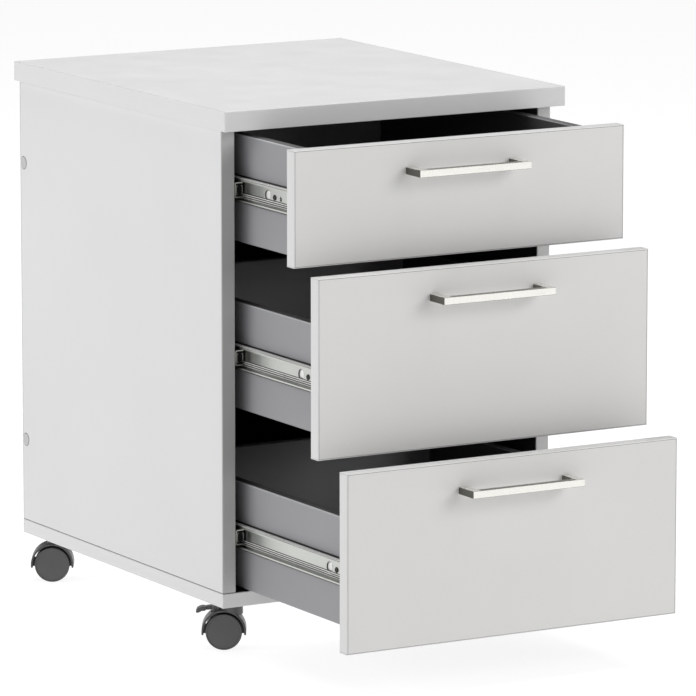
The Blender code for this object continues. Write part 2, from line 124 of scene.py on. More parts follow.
# Castors: t runs from the swivel axis towards the wheels, v along the axle
TRAIL = 7.5 * MM
HOOD_RADIUS = 24.5 * MM
HOOD_THICKNESS = 2.2 * MM
HOOD_HALF_WIDTH = 13 * MM
HOOD_SKIRT = 3.5 * MM
WEB_HALF = 2.9 * MM
BLOCK_RADIUS = 13.5 * MM
BLOCK_HEIGHT = 12.5 * MM
AXLE_RADIUS = 3 * MM
AXLE_HALF_LENGTH = 9.9 * MM
PIN_RADIUS = 3.5 * MM
PIN_HEAD_RADIUS = 5.5 * MM
PIN_HEAD_HEIGHT = 0.8 * MM
WHEEL_RADIUS = 20 * MM
WHEEL_HALF_WIDTH = 4.85 * MM
WHEEL_OFFSET = 8.05 * MM            # from the castor's middle to a wheel's
LEVER_PIVOT_T = 9 * MM
LEVER_PIVOT_UP = 26 * MM
LUG_RADIUS = 4.2 * MM
LUG_INSIDE = 4.9 * MM
LUG_OUTSIDE = 7.9 * MM
PLATE_CLEAR = 0.3 * MM
PLATE_SCREW_PITCH = 28 * MM

# Studio
KEY_POINT = Vector((0, 0, 0.3))     # where the lights look
WORLD_STRENGTH = 0.22
FLOOR_SIZE = 160
FLOOR_GREY = 0.25
FLOOR_GLOW = 0.86                   # keeps the floor white under the soft shadows

# Camera
AZIMUTH = math.radians(-30.0)
ELEVATION = math.radians(9.97)
DISTANCE = 6.814
AIM = Vector((0.0011, 0, 0.3093))
LENS = 318.6
SENSOR_WIDTH = 36


# ---- outlines -----------------------------------------------------------------------------

def rounded(corners, closed=True, steps=5):
    """An outline through corners (x, y, radius), each corner turned into an arc of its radius."""
    line = []
    count = len(corners)
    for i, (x, y, radius) in enumerate(corners):
        corner = Vector((x, y))
        if radius == 0 or (not closed and i in (0, count - 1)):
            line.append(corner)
            continue
        before = (Vector(corners[i - 1][:2]) - corner).normalized()
        after = (Vector(corners[(i + 1) % count][:2]) - corner).normalized()
        half = before.angle(after) / 2
        middle = corner + (before + after).normalized() * (radius / math.sin(half))
        start = corner + before * (radius / math.tan(half)) - middle
        sweep = start.angle_signed(corner + after * (radius / math.tan(half)) - middle)
        for step in range(steps + 1):
            line.append(middle + Matrix.Rotation(-sweep * step / steps, 2) @ start)
    return line


def strip(line, thickness):
    """The closed outline of a sheet of a thickness whose middle follows an open line."""
    sides = ([], [])
    for i, point in enumerate(line):
        ahead = (line[min(i + 1, len(line) - 1)] - line[max(i - 1, 0)]).normalized()
        normal = Vector((-ahead.y, ahead.x))
        for side, sign in zip(sides, (1, -1)):
            side.append(point + normal * (sign * thickness / 2))
    return sides[0] + sides[1][::-1]


def arc(centre, radius, start, end, steps):
    """Points on an arc between two angles in degrees."""
    points = []
    for step in range(steps + 1):
        angle = math.radians(start + (end - start) * step / steps)
        points.append(Vector(centre) + radius * Vector((math.cos(angle), math.sin(angle))))
    return points


# ---- meshes -------------------------------------------------------------------------------

def prism(outline, low, high, place=Matrix.Identity(4), edge=0.0):
    """An outline in local XY drawn from one local Z to another, its end edges chamfered."""
    bm = bmesh.new()
    rings = []
    for height in (low, high):
        rings.append([bm.verts.new((x, y, height)) for x, y in outline])
    bm.faces.new(rings[0][::-1])
    bm.faces.new(rings[1])
    count = len(outline)
    for i in range(count):
        j = (i + 1) % count
        bm.faces.new((rings[0][i], rings[0][j], rings[1][j], rings[1][i]))
    bmesh.ops.recalc_face_normals(bm, faces=bm.faces)
    if edge:
        ends = [e for e in bm.edges if abs(e.verts[0].co.z - e.verts[1].co.z) < 1e-9]
        bmesh.ops.bevel(bm, geom=ends, offset=edge, segments=2, profile=0.5, affect="EDGES")
    bmesh.ops.transform(bm, matrix=place, verts=bm.verts)
    bmesh.ops.recalc_face_normals(bm, faces=bm.faces)
    return bm


def lathe(profile, steps, place=Matrix.Identity(4)):
    """A profile of (radius, height) turned about local Z. It runs from axis to axis, or it is a ring
    that ends where it starts."""
    bm = bmesh.new()
    ring_shaped = profile[0] == profile[-1]
    rings = []
    for radius, height in profile[:-1] if ring_shaped else profile:
        if radius < 1e-9:
            rings.append([bm.verts.new((0, 0, height))])
            continue
        ring = []
        for step in range(steps):
            angle = 2 * math.pi * step / steps
            ring.append(bm.verts.new((radius * math.cos(angle), radius * math.sin(angle), height)))
        rings.append(ring)
    if ring_shaped:
        rings.append(rings[0])
    for a, b in zip(rings, rings[1:]):
        for i in range(steps):
            j = (i + 1) % steps
            corners = [a[i % len(a)], a[j % len(a)], b[j % len(b)], b[i % len(b)]]
            bm.faces.new(list(dict.fromkeys(corners)))
    bmesh.ops.transform(bm, matrix=place, verts=bm.verts)
    bmesh.ops.recalc_face_normals(bm, faces=bm.faces)
    return bm


def swept_arc(section, centre, start, end, steps, edge):
    """A closed (radius, v) section swept about the Y axis through centre, between two angles."""
    bm = bmesh.new()
    rings = []
    for step in range(steps + 1):
        angle = math.radians(start + (end - start) * step / steps)
        out = Vector((math.cos(angle), 0, math.sin(angle)))
        points = [centre + out * radius + Vector((0, v, 0)) for radius, v in section]
        rings.append([bm.verts.new(point) for point in points])
    count = len(section)
    for a, b in zip(rings, rings[1:]):
        for i in range(count):
            j = (i + 1) % count
            bm.faces.new((a[i], a[j], b[j], b[i]))
    caps = [bm.faces.new(rings[0][::-1]), bm.faces.new(rings[-1])]
    bmesh.ops.recalc_face_normals(bm, faces=bm.faces)
    rims = [e for cap in caps for e in cap.edges]
    bmesh.ops.bevel(bm, geom=rims, offset=edge, segments=2, profile=0.5, affect="EDGES")
    return bm


def block(low, high, rounds=(), fine=FINE_EDGE):
    """A box. rounds are (axis along the edge, axis of its face, sign, radius) for the edges that
    are rounded, and fine is the chamfer on the others."""
    low = Vector(low)
    high = Vector(high)
    bm = bmesh.new()
    place = Matrix.Translation((low + high) / 2) @ Matrix.Diagonal((*(high - low), 1.0))
    bmesh.ops.create_cube(bm, size=1.0, matrix=place)
    for along, facing, sign, radius in rounds:
        level = high[facing] if sign > 0 else low[facing]
        chosen = []
        for edge in bm.edges:
            a, b = (vert.co for vert in edge.verts)
            runs = abs(a[along] - b[along]) > 0.5 * (high[along] - low[along])
            if runs and abs(a[facing] - level) < 1e-7 and abs(b[facing] - level) < 1e-7:
                if edge.calc_face_angle() > math.radians(60):
                    chosen.append(edge)
        bmesh.ops.bevel(bm, geom=chosen, offset=radius, segments=3, profile=0.5, affect="EDGES")
    if fine:
        crisp = [edge for edge in bm.edges if edge.calc_face_angle() > math.radians(60)]
        bmesh.ops.bevel(bm, geom=crisp, offset=fine, segments=1, profile=0.5, affect="EDGES")
    return bm


def cylinder(radius, start, end, steps):
    """A cylinder from one point to another."""
    start = Vector(start)
    axis = Vector(end) - start
    place = Matrix.Translation(start) @ axis.to_track_quat("Z", "Y").to_matrix().to_4x4()
    return lathe([(0, 0), (radius, 0), (radius, axis.length), (0, axis.length)], steps, place)


def combined(base, steps):
    """Joins and cuts a mesh in turn; steps are pairs of an operation and a tool. All are used up."""
    for operation, tool_bm in steps:
        body = as_object("body", base)
        tool = as_object("tool", tool_bm)
        modifier = body.modifiers.new("step", "BOOLEAN")
        modifier.operation = operation
        modifier.solver = "EXACT"
        modifier.object = tool
        bpy.context.view_layer.update()
        graph = bpy.context.evaluated_depsgraph_get()
        base = bmesh.new()
        base.from_mesh(body.evaluated_get(graph).data)
        bmesh.ops.remove_doubles(base, verts=base.verts, dist=0.002 * MM)
        bmesh.ops.dissolve_degenerate(base, edges=base.edges, dist=0.002 * MM)
        for item in (body, tool):
            mesh = item.data
            bpy.data.objects.remove(item)
            bpy.data.meshes.remove(mesh)
    return base


def as_object(name, bm):
    mesh = bpy.data.meshes.new(name)
    bm.to_mesh(mesh)
    bm.free()
    item = bpy.data.objects.new(name, mesh)
    bpy.context.scene.collection.objects.link(item)
    return item


def add_piece(name, parts, materials, body, replaces=()):
    """One object from several meshes. A part is a bmesh, or a pair of a bmesh and the place of its
    material in the list."""
    whole = bmesh.new()
    for part in parts:
        bm, index = part if isinstance(part, tuple) else (part, None)
        if index is not None:
            for face in bm.faces:
                face.material_index = index
        mesh = bpy.data.meshes.new("part")
        bm.to_mesh(mesh)
        bm.free()
        whole.from_mesh(mesh)
        bpy.data.meshes.remove(mesh)
    item = as_object(name, whole)
    for material in materials:
        item.data.materials.append(material)
    item.data.shade_smooth()
    item.data.set_sharp_from_angle(angle=math.radians(38))
    normals = item.modifiers.new("normals", "WEIGHTED_NORMAL")
    normals.keep_sharp = True
    normals.weight = 80
    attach(item, body)
    if replaces:
        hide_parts(*replaces)


def dress_node(name, material, edge):
    """Keeps a CAD node, with rounded edges and a finished material."""
    item = NODES[name]
    item.material_slots[0].material = material
    weld = item.modifiers.new("weld", "WELD")
    weld.merge_threshold = 0.00001
    bevel = item.modifiers.new("edge", "BEVEL")
    bevel.width = edge
    bevel.segments = 2
    bevel.limit_method = "ANGLE"
    bevel.angle_limit = math.radians(40)
    normals = item.modifiers.new("normals", "WEIGHTED_NORMAL")
    normals.keep_sharp = True


# ---- materials ----------------------------------------------------------------------------

def noise(tree, vector, scale, detail, roughness=0.55):
    node = tree.nodes.new("ShaderNodeTexNoise")
    node.inputs["Scale"].default_value = scale
    node.inputs["Detail"].default_value = detail
    node.inputs["Roughness"].default_value = roughness
    tree.links.new(vector, node.inputs["Vector"])
    return node.outputs["Fac"]


def mapped(tree, value, low, high, span=(0.3, 0.7)):
    """A value taken from its span to a range between low and high."""
    node = tree.nodes.new("ShaderNodeMapRange")
    node.inputs["From Min"].default_value = span[0]
    node.inputs["From Max"].default_value = span[1]
    node.inputs["To Min"].default_value = low
    node.inputs["To Max"].default_value = high
    tree.links.new(value, node.inputs["Value"])
    return node.outputs["Result"]


def mixed(tree, factor, a, b):
    """The colours a and b mixed by a factor; a may be a socket."""
    node = tree.nodes.new("ShaderNodeMix")
    node.data_type = "RGBA"
    tree.links.new(factor, node.inputs["Factor"])
    for socket, colour in ((node.inputs[6], a), (node.inputs[7], b)):
        if isinstance(colour, bpy.types.NodeSocket):
            tree.links.new(colour, socket)
        else:
            socket.default_value = (*colour, 1.0)
    return node.outputs[2]


# Spans of noise and pointiness that a finish is mapped from
SPECK_SPAN = (0.35, 0.6)
WEAR_AND_HIGHLIGHT_SPAN = (0.515, 0.6)
SPECK_SHADE = 0.25                  # a speck's colour against the finish's
WEAR_AND_HIGHLIGHT_GAIN = 1.5
WEAR_AND_HIGHLIGHT_LIFT = 0.06


def surface(name, colour, roughness, metallic=0.0, grain=900.0, stretch=(1, 1, 1), bump=0.12,
            depth=0.05 * MM, tint=0.03, speck=0.03, cloud=6.0, gloss=0.05, wear_and_highlight=0.0, specular=0.5):
    """A finish: cloudy tint, fine specks, roughness drift, grain in relief and paler edges, as wear
    and painted highlight.
    """
    material = bpy.data.materials.new(name)
    material.use_nodes = True
    tree = material.node_tree
    shader = tree.nodes["Principled BSDF"]
    shader.inputs["Metallic"].default_value = metallic
    shader.inputs["Specular IOR Level"].default_value = specular
    coords = tree.nodes.new("ShaderNodeTexCoord").outputs["Object"]
    mapping = tree.nodes.new("ShaderNodeMapping")
    mapping.inputs["Scale"].default_value = stretch
    tree.links.new(coords, mapping.inputs["Vector"])
    fine = noise(tree, mapping.outputs["Vector"], grain, 4)
    broad = noise(tree, coords, cloud, 3)

    dark = [c * (1 - tint) for c in colour]
    light = [min(1.0, c * (1 + tint)) for c in colour]
    shade = mixed(tree, mapped(tree, broad, 0, 1), dark, light)
    specks = mapped(tree, fine, speck, 0, SPECK_SPAN)
    shade = mixed(tree, specks, shade, [SPECK_SHADE * c for c in colour])
    # Paler convex edges: wear, and painted highlight
    if wear_and_highlight:
        edge = tree.nodes.new("ShaderNodeNewGeometry").outputs["Pointiness"]
        pale = [min(1.0, c * WEAR_AND_HIGHLIGHT_GAIN + WEAR_AND_HIGHLIGHT_LIFT) for c in colour]
        shade = mixed(tree, mapped(tree, edge, 0, wear_and_highlight, WEAR_AND_HIGHLIGHT_SPAN), shade, pale)
    tree.links.new(shade, shader.inputs["Base Color"])

    drift = mapped(tree, noise(tree, coords, 4 * cloud, 4), roughness - gloss, roughness + gloss)
    tree.links.new(drift, shader.inputs["Roughness"])

    relief = tree.nodes.new("ShaderNodeBump")
    relief.inputs["Strength"].default_value = bump
    relief.inputs["Distance"].default_value = depth
    tree.links.new(fine, relief.inputs["Height"])
    tree.links.new(relief.outputs["Normal"], shader.inputs["Normal"])
    return material


WHITE = surface("white_melamine", (0.71, 0.71, 0.715), 0.5, grain=1300, tint=0.015, bump=0.25)
WHITE_BAND = surface("white_edge_band", (0.70, 0.70, 0.702), 0.36, grain=1600, tint=0.012, bump=0.12)
# Painted shade: the side panels' front edge bands are a darker grey than the other bands
SIDE_BAND_SHADE = surface("side_edge_band_painted_shade", (0.48, 0.48, 0.475), 0.36, grain=1600, tint=0.012, bump=0.12)
FRONT = surface("front_melamine", (0.665, 0.66, 0.65), 0.38, grain=1300, tint=0.015, bump=0.25)
FRONT_BAND = surface("front_edge_band", (0.68, 0.68, 0.675), 0.34, grain=1600, tint=0.012, bump=0.12)
# Dark glue lines of the edge bands, and painted shade in the board joints and round the caps
GLUE_AND_GAP_SHADE = surface("glue_line_and_painted_gap_shade", (0.20, 0.20, 0.195), 0.6, grain=1600, tint=0.08, bump=0.2)
CAP = surface("cover_cap_plastic", (0.50, 0.50, 0.50), 0.35, grain=1500, tint=0.03, bump=0.1)
# Painted shade: near black on the carcass faces inside, and in strips beside the drawer slides
INNER_SHADE = surface("painted_carcass_shade", (0.018, 0.018, 0.018), 0.6, grain=1100, tint=0.1, bump=0.2)
DRAWER = surface("grey_drawer_foil", (0.29, 0.29, 0.305), 0.48, grain=1500, stretch=(1, 0.25, 1),
                 tint=0.03, bump=0.2)
# Painted shade: a darker copy of the grey foil, on the drawer sides' inside faces and flat tops
DRAWER_SHADE = surface("painted_drawer_shade", (0.092, 0.092, 0.094), 0.52, grain=1500, stretch=(1, 0.25, 1),
                 tint=0.05, bump=0.2)
# Painted highlight: a paler copy of the grey foil along the drawer sides' rounded top edges
DRAWER_EDGE_HIGHLIGHT = surface("painted_drawer_edge_highlight", (0.46, 0.46, 0.47), 0.4, grain=1500, tint=0.03, bump=0.15)
# Painted light: a lighter copy of the grey foil on the inside face of a drawer's back
DRAWER_BACK_LIT = surface("grey_drawer_back_painted_light", (0.38, 0.38, 0.39), 0.5, grain=1500, stretch=(0.25, 1, 1),
                      tint=0.03, bump=0.2)
BOTTOM = surface("dark_bottom_foil", (0.058, 0.058, 0.060), 0.55, grain=1200, tint=0.08, bump=0.2)
ZINC = surface("zinc_plated_steel", (0.54, 0.555, 0.525), 0.32, 1.0, grain=1.0,
               stretch=(2600, 25, 2600), tint=0.03, speck=0.02, cloud=9, gloss=0.05, bump=0.02,
               depth=0.01 * MM)
# Painted highlight: a paler zinc for the slides' top flanges and beads, and the disc behind the
# access hole
ZINC_HIGHLIGHT = surface("painted_zinc_highlight", (0.85, 0.85, 0.83), 0.3, 0.25, grain=1.0,
                    stretch=(2600, 25, 2600), tint=0.02, speck=0.02, cloud=9, bump=0.02,
                    depth=0.01 * MM)
# Painted shade: near black on the slides' lip feet, hole walls and bead grooves, and on the screw
PAINTED_BLACK_SHADE = surface("painted_slide_shade", (0.03, 0.032, 0.027), 0.35, 0.4, grain=1.0,
                 stretch=(2600, 40, 2600), tint=0.1, speck=0.1, cloud=20, bump=0.1,
                 depth=0.02 * MM)
BALL = surface("bearing_steel", (0.75, 0.75, 0.75), 0.12, 1.0, grain=3000, tint=0.03, gloss=0.03)
BLACK = surface("black_plastic", (0.006, 0.006, 0.006), 0.6, grain=1800, tint=0.1, bump=0.3,
                specular=0.15)
NICKEL = surface("brushed_nickel", (0.80, 0.79, 0.75), 0.26, 1.0, grain=1.0, stretch=(70, 2600, 2600),
                 tint=0.02, speck=0.06, cloud=25, gloss=0.05, bump=0.16, depth=0.02 * MM)
# Painted shade: a dark copy of the brushed nickel for the handle's sides and top
NICKEL_SHADE = surface("brushed_nickel_painted_shade", (0.17, 0.17, 0.148), 0.34, 1.0, grain=1.0,
                      stretch=(2600, 70, 2600), tint=0.04, speck=0.08, cloud=25, gloss=0.05,
                      bump=0.16, depth=0.02 * MM)
CASTOR = surface("castor_nylon", (0.064, 0.064, 0.062), 0.36, grain=1900, tint=0.08, cloud=40,
                 bump=0.35, depth=0.04 * MM, wear_and_highlight=0.5)
WHEEL = surface("wheel_nylon", (0.090, 0.090, 0.088), 0.44, grain=2100, tint=0.08, cloud=40,
                bump=0.35, depth=0.04 * MM, wear_and_highlight=0.3)
# The castor plates are drawn near black, though their part is zinc steel
PLATE = surface("near_black_plate_steel", (0.025, 0.025, 0.025), 0.4, 0.3, grain=1800, tint=0.1, cloud=40,
                bump=0.25, depth=0.03 * MM, wear_and_highlight=0.3)
SCREW = surface("screw_steel", (0.55, 0.55, 0.54), 0.34, 1.0, grain=2200, tint=0.06, cloud=80,
                bump=0.2, depth=0.02 * MM, wear_and_highlight=0.3)


# ---- small fittings -----------------------------------------------------------------------

def pan_screw(place, radius=3.4 * MM, height=1.7 * MM):
    """A cross-recessed pan head, its underside at local Z 0."""
    profile = [(0, height)]
    for point in arc((radius - height, 0), height, 80, 0, 6):
        profile.append((point.x, point.y))
    profile.append((0, 0))
    head = lathe(profile, 32)
    arm, half_slot, slot_floor = 0.55 * radius, 0.13 * radius, 0.45 * height
    recess = []
    for angle in (45, 135):
        cut = block((-arm, -half_slot, slot_floor), (arm, half_slot, 2 * height), fine=0)
        turn = Matrix.Rotation(math.radians(angle), 3, "Z")
        bmesh.ops.rotate(cut, cent=(0, 0, 0), matrix=turn, verts=cut.verts)
        recess.append(("DIFFERENCE", cut))
    head = combined(head, recess)
    bmesh.ops.transform(head, matrix=place, verts=head.verts)
    return head


def facing(point, direction):
    """A frame at a point whose local Z looks along a direction."""
    return Matrix.Translation(point) @ Vector(direction).to_track_quat("Z", "Y").to_matrix().to_4x4()


# ---- boards -------------------------------------------------------------------------------

# Places in a board's list of materials, after the one of its face
EDGE_BAND, GLUE_AND_JOINT_SHADE, PAINTED_SHADE_SIDE = 1, 2, 3


def banded_board(low, high, banded, long_axis):
    """A board with edge bands. banded are the (axis, sign) of its banded edges; the bands that run
    along long_axis go from end to end, and the others butt between them. Returns the board's core,
    the bands and the sunk glue lines that show between them."""
    low = Vector(low)
    high = Vector(high)
    thin = min(range(3), key=lambda i: high[i] - low[i])
    core_low = low.copy()
    core_high = high.copy()
    for axis, sign in banded:
        if sign < 0:
            core_low[axis] += BAND + SEAM
        else:
            core_high[axis] -= BAND + SEAM
    bands = []
    for axis, sign in banded:
        runs = 3 - axis - thin
        band_low = low.copy()
        band_high = high.copy()
        if sign < 0:
            band_high[axis] = low[axis] + BAND
        else:
            band_low[axis] = high[axis] - BAND
        if runs != long_axis:
            for other, side in banded:
                if other == runs and side < 0:
                    band_low[runs] += BAND + 0.5 * SEAM
                elif other == runs:
                    band_high[runs] -= BAND + 0.5 * SEAM
        bands.append(block(band_low, band_high, [(runs, axis, sign, BAND_ROUND)], 0.5 * FINE_EDGE))
    glue_low = low.copy()
    glue_high = high.copy()
    for axis in range(3):
        inset = GLUE_DEPTH if axis == thin or (axis, -1) not in banded else 0.5 * BAND
        glue_low[axis] += inset
        inset = GLUE_DEPTH if axis == thin or (axis, 1) not in banded else 0.5 * BAND
        glue_high[axis] -= inset
    return block(core_low, core_high), bands, block(glue_low, glue_high, fine=0)


def painted(bm, index, axis, sign, low=None, high=None):
    """Gives the material at a place in the list to the faces that look along one axis, within a
    region if one is given."""
    if low is not None:
        for other in range(3):
            if other == axis:
                continue
            for corner in (low, high):
                normal = Vector((0, 0, 0))
                normal[other] = 1
                geometry = list(bm.verts) + list(bm.edges) + list(bm.faces)
                bmesh.ops.bisect_plane(bm, geom=geometry, plane_co=corner, plane_no=normal)
    for face in bm.faces:
        centre = face.calc_center_median()
        inside = low is None or all(low[i] < centre[i] < high[i] for i in range(3) if i != axis)
        if inside and face.normal[axis] * sign > 0.9:
            face.material_index = index


def add_board(name, node, banded, long_axis, materials, body, dark=None, joint=0.0):
    """A banded board. dark is the side that takes the painted shade, as painted() needs it. joint is
    how far the board's ends stand off along Z, with the glue line in the gap, dark as painted shade."""
    low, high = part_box(node)
    gap = Vector((0, 0, joint))
    core, bands, glue = banded_board(low + gap, high - gap, banded, long_axis)
    # The glue line reaches into the gap at the board's ends, as painted shade in the joint
    for vert in glue.verts:
        vert.co.z += joint * (1 if vert.co.z > (low.z + high.z) / 2 else -1)
    if dark:
        painted(core, PAINTED_SHADE_SIDE, *dark)
    parts = [core] + [(band, EDGE_BAND) for band in bands] + [(glue, GLUE_AND_JOINT_SHADE)]
    add_piece(name, parts, materials, body, [node])


def build_carcass():
    """The five boards. Painted shade, near black, is on the sides that face the drawers."""
    around = (LEFTWARD, RIGHTWARD, FORWARD, BACKWARD)
    finish = [WHITE, WHITE_BAND, GLUE_AND_GAP_SHADE, INNER_SHADE]
    # The side panels take the darker edge band, as painted shade
    side_finish = [WHITE, SIDE_BAND_SHADE, GLUE_AND_GAP_SHADE, INNER_SHADE]
    side_low, side_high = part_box("left_side_panel")
    back_low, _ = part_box("back_panel")
    room_low = Vector((side_high.x, side_low.y, 0))
    room_high = Vector((-side_high.x, back_low.y, 0))
    add_board("top_board", "top_panel", around, 0, finish, "carcass",
              (*DOWNWARD, room_low, room_high))
    add_board("floor_board", "bottom_panel", around, 0, finish, "carcass",
              (*UPWARD, room_low, room_high))
    for side, sign in SIDES:
        add_board(side + "_side_board", side + "_side_panel", (FORWARD, BACKWARD), 2, side_finish,
                  "carcass", (0, -sign), JOINT)
    add_board("back_board", "back_panel", (), 2, finish, "carcass", FORWARD, JOINT)


def build_caps():
    """The flat caps over the side panels' fixings, each on a dark seat that is painted shade at the
    edge of its hole.
    """
    for side, sign in SIDES:
        panel_low, panel_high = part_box(side + "_side_panel")
        face = panel_low.x if sign < 0 else panel_high.x
        for level, height in CAP_HEIGHTS.items():
            profile = [(0, 0.8 * CAP_THICKNESS), (0.5 * CAP_RADIUS, 0.78 * CAP_THICKNESS)]
            for point in arc((CAP_RADIUS - CAP_THICKNESS, 0), CAP_THICKNESS, 75, 0, 5):
                profile.append((point.x, point.y))
            profile.append((0, 0))
            spot = facing((face, panel_high.y - CAP_FROM_BACK, height), (sign, 0, 0))
            # The seat, a dark disc wider than the cap, is painted shade at the edge of its hole
            wide = CAP_RADIUS + CAP_GAP
            seat = [(0, 0), (wide, 0), (wide, CAP_SEAT_DEPTH), (0, CAP_SEAT_DEPTH)]
            parts = [lathe(profile, 48, spot), (lathe(seat, 48, spot), 1)]
            add_piece(f"cover_cap_{side}_{level}", parts, [CAP, GLUE_AND_GAP_SHADE], "carcass")


# ---- drawers ------------------------------------------------------------------------------

# Takes an outline drawn in (x, z) and its depth to (x, depth, z)
UPRIGHT = Matrix(((1, 0, 0, 0), (0, 0, 1, 0), (0, 1, 0, 0), (0, 0, 0, 1)))
# Takes an outline drawn in (y, z) and its depth to (depth, y, z)
ACROSS = Matrix(((0, 0, 1, 0), (1, 0, 0, 0), (0, 1, 0, 0), (0, 0, 0, 1)))

# Places in a drawer board's list of materials, after the one of its outside
INSIDE, SLIDE_SHADE, HIGHLIGHT_EDGE = 1, 2, 3


def grooved(outer, inner, deep, low, high, groove):
    """The outline of a drawer board with a rounded top and a groove in its inner face."""
    return rounded([
        (outer, low, FOOT_ROUND), (outer, high, BOX_ROUND), (inner, high, BOX_ROUND),
        (inner, groove[1], GROOVE_ROUND), (deep, groove[1], 0), (deep, groove[0], 0),
        (inner, groove[0], GROOVE_ROUND), (inner, low, FOOT_ROUND)], steps=4)


def build_box(level, body):
    """The two grooved sides and the grooved back, with rounded tops, and the bottom board."""
    bottom_low, bottom_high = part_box(level + "_drawer_bottom")
    groove = (bottom_low.z - GROOVE_CLEAR, bottom_high.z + GROOVE_CLEAR)
    for side, sign in SIDES:
        node = f"{level}_drawer_{side}_side"
        low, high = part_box(node)
        outer, inner = (low.x, high.x) if sign < 0 else (high.x, low.x)
        deep = (bottom_low.x if sign < 0 else bottom_high.x) + sign * GROOVE_CLEAR
        outline = grooved(outer, inner, deep, low.z, high.z, groove)
        board = prism(outline, low.y, high.y, UPRIGHT, 0.25 * MM)
        # Painted highlight along the rounded outer top edge
        for face in board.faces:
            if 0.15 < face.normal.z < 0.99 and face.normal.x * sign > 0.15:
                face.material_index = HIGHLIGHT_EDGE
        # Painted shade on the inside face and the flat top
        painted(board, INSIDE, 0, -sign)
        painted(board, INSIDE, *UPWARD)
        # Painted shade in strips along the slide's top and bottom edges
        runner_low, runner_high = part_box(f"{level}_{side}_drawer_runner")
        margin = Vector((0, 0, SLIDE_MARGIN))
        for foot in (runner_low.z, runner_high.z - MM):
            strip_low = Vector((0, runner_low.y, foot)) - margin
            strip_high = Vector((0, runner_high.y, foot + MM)) + margin
            painted(board, SLIDE_SHADE, 0, sign, strip_low, strip_high)
        add_piece(f"{level}_{side}_box_side", [board], [DRAWER, DRAWER_SHADE, INNER_SHADE, DRAWER_EDGE_HIGHLIGHT], body,
                  [node])
    node = level + "_drawer_back"
    low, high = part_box(node)
    outline = grooved(high.y, low.y, bottom_high.y + GROOVE_CLEAR, low.z, high.z, groove)
    board = prism(outline, low.x, high.x, ACROSS, 0.1 * MM)
    # The back's inside face takes the lighter copy, as painted light
    painted(board, INSIDE, *FORWARD)
    add_piece(level + "_box_back", [board], [DRAWER, DRAWER_BACK_LIT], body, [node])
    dress_node(level + "_drawer_bottom", BOTTOM, 0.2 * MM)


def build_handle(level, body):
    """The square U-bar, crisp outside and filleted inside, and its two screws behind the front."""
    node = level + "_handle"
    low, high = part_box(node)
    leg = HANDLE_LEG
    back = low.y + HANDLE_BAR
    outline = rounded([
        (low.x, high.y, 0), (low.x, low.y, HANDLE_CORNER), (high.x, low.y, HANDLE_CORNER),
        (high.x, high.y, 0), (high.x - leg, high.y, 0), (high.x - leg, back, HANDLE_FILLET),
        (low.x + leg, back, HANDLE_FILLET), (low.x + leg, high.y, 0)], steps=8)
    bar = prism(outline, low.z, high.z, edge=HANDLE_EDGE)
    # Painted shade: the top between the legs, the legs' sides and the bar's long edges take a darker
    # copy of the nickel
    darker = 1
    bar_low = Vector((low.x + leg, low.y + HANDLE_EDGE, 0))
    bar_high = Vector((high.x - leg, back, 0))
    painted(bar, darker, *UPWARD, bar_low, bar_high)
    for face in bar.faces:
        centre = face.calc_center_median()
        outward = face.normal.x * math.copysign(1, centre.x)
        along_bar = centre.y < back and abs(centre.x) < high.x - 0.3 * leg
        if outward > 0.9 or (outward < -0.2 and centre.y > back):
            face.material_index = darker
        elif along_bar and abs(face.normal.z) > 0.3:
            face.material_index = darker
    add_piece(level + "_pull", [bar], [NICKEL, NICKEL_SHADE], body, [node])

    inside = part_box(level + "_drawer_front")[1].y
    middle = (low.z + high.z) / 2
    screws = []
    for _, sign in SIDES:
        spot = facing((sign * HANDLE_HOLES / 2, inside, middle), (0, 1, 0))
        screws.append(pan_screw(spot, *HANDLE_SCREW))
    add_piece(level + "_handle_screws", screws, [SCREW], body)


# ---- slides -------------------------------------------------------------------------------

# Places in a slide's list of materials
ROLLED, BLACK_SHADE, HIGHLIGHTED = 0, 1, 2


def channel(web, tip, half_height, lip, race):
    """The outline of a rolled C from web to tip, in (x, z) about the slide's middle. The web's own
    corners are round ball races, and the flanges end in lips if lip isn't zero."""
    toward = 1 if tip > web else -1
    middle = web + toward * STEEL / 2
    rim = half_height - STEEL / 2
    end = tip - toward * STEEL / 2 if lip else tip
    line = [(middle, -rim, race), (middle, rim, race)]
    if lip:
        line = [(end, -rim + lip - STEEL / 2, 0), (end, -rim, LIP_BEND)] + line
        line += [(end, rim, LIP_BEND), (end, rim - lip + STEEL / 2, 0)]
    else:
        line = [(end, -rim, 0)] + line + [(end, rim, 0)]
    return strip(rounded(line, closed=False, steps=7), STEEL)


def rim_ring(spot, radius):
    """The raised rim of a punched hole."""
    rise = 0.35 * MM
    wide = 0.8 * MM
    section = [(radius, 0), (radius + 0.1 * wide, 0.8 * rise), (radius + 0.4 * wide, rise),
               (radius + 0.8 * wide, 0.6 * rise), (radius + wide, 0), (radius, 0)]
    return lathe(section, 40, spot)


def race_lines(web, sign, low, high):
    """The rolled beads along the foot of a slide's web, in painted highlight, with painted shade
    between them.
    """
    parts = []
    face = web + sign * STEEL
    start, end = low.y + 0.5 * MM, high.y - 0.5 * MM
    root = face - sign * BEAD_RISE / 2
    half_groove_shade = BEAD_RISE / 4
    for i in range(BEADS):
        height = low.z + BEAD_FOOT + i * BEAD_STEP
        bead = [Vector((root, height - BEAD_HALF))]
        for point in arc((0, 0), 1, -90, 90, 6):
            bead.append(Vector((face + sign * point.x * BEAD_RISE, height + point.y * BEAD_HALF)))
        bead.append(Vector((root, height + BEAD_HALF)))
        parts.append((prism(bead, start, end, UPRIGHT), HIGHLIGHTED))
        groove_shade_low = (face - half_groove_shade, start, height + BEAD_HALF)
        groove_shade_high = (face + half_groove_shade, end, height + BEAD_STEP - BEAD_HALF)
        parts.append((block(groove_shade_low, groove_shade_high, fine=0), BLACK_SHADE))
    return parts


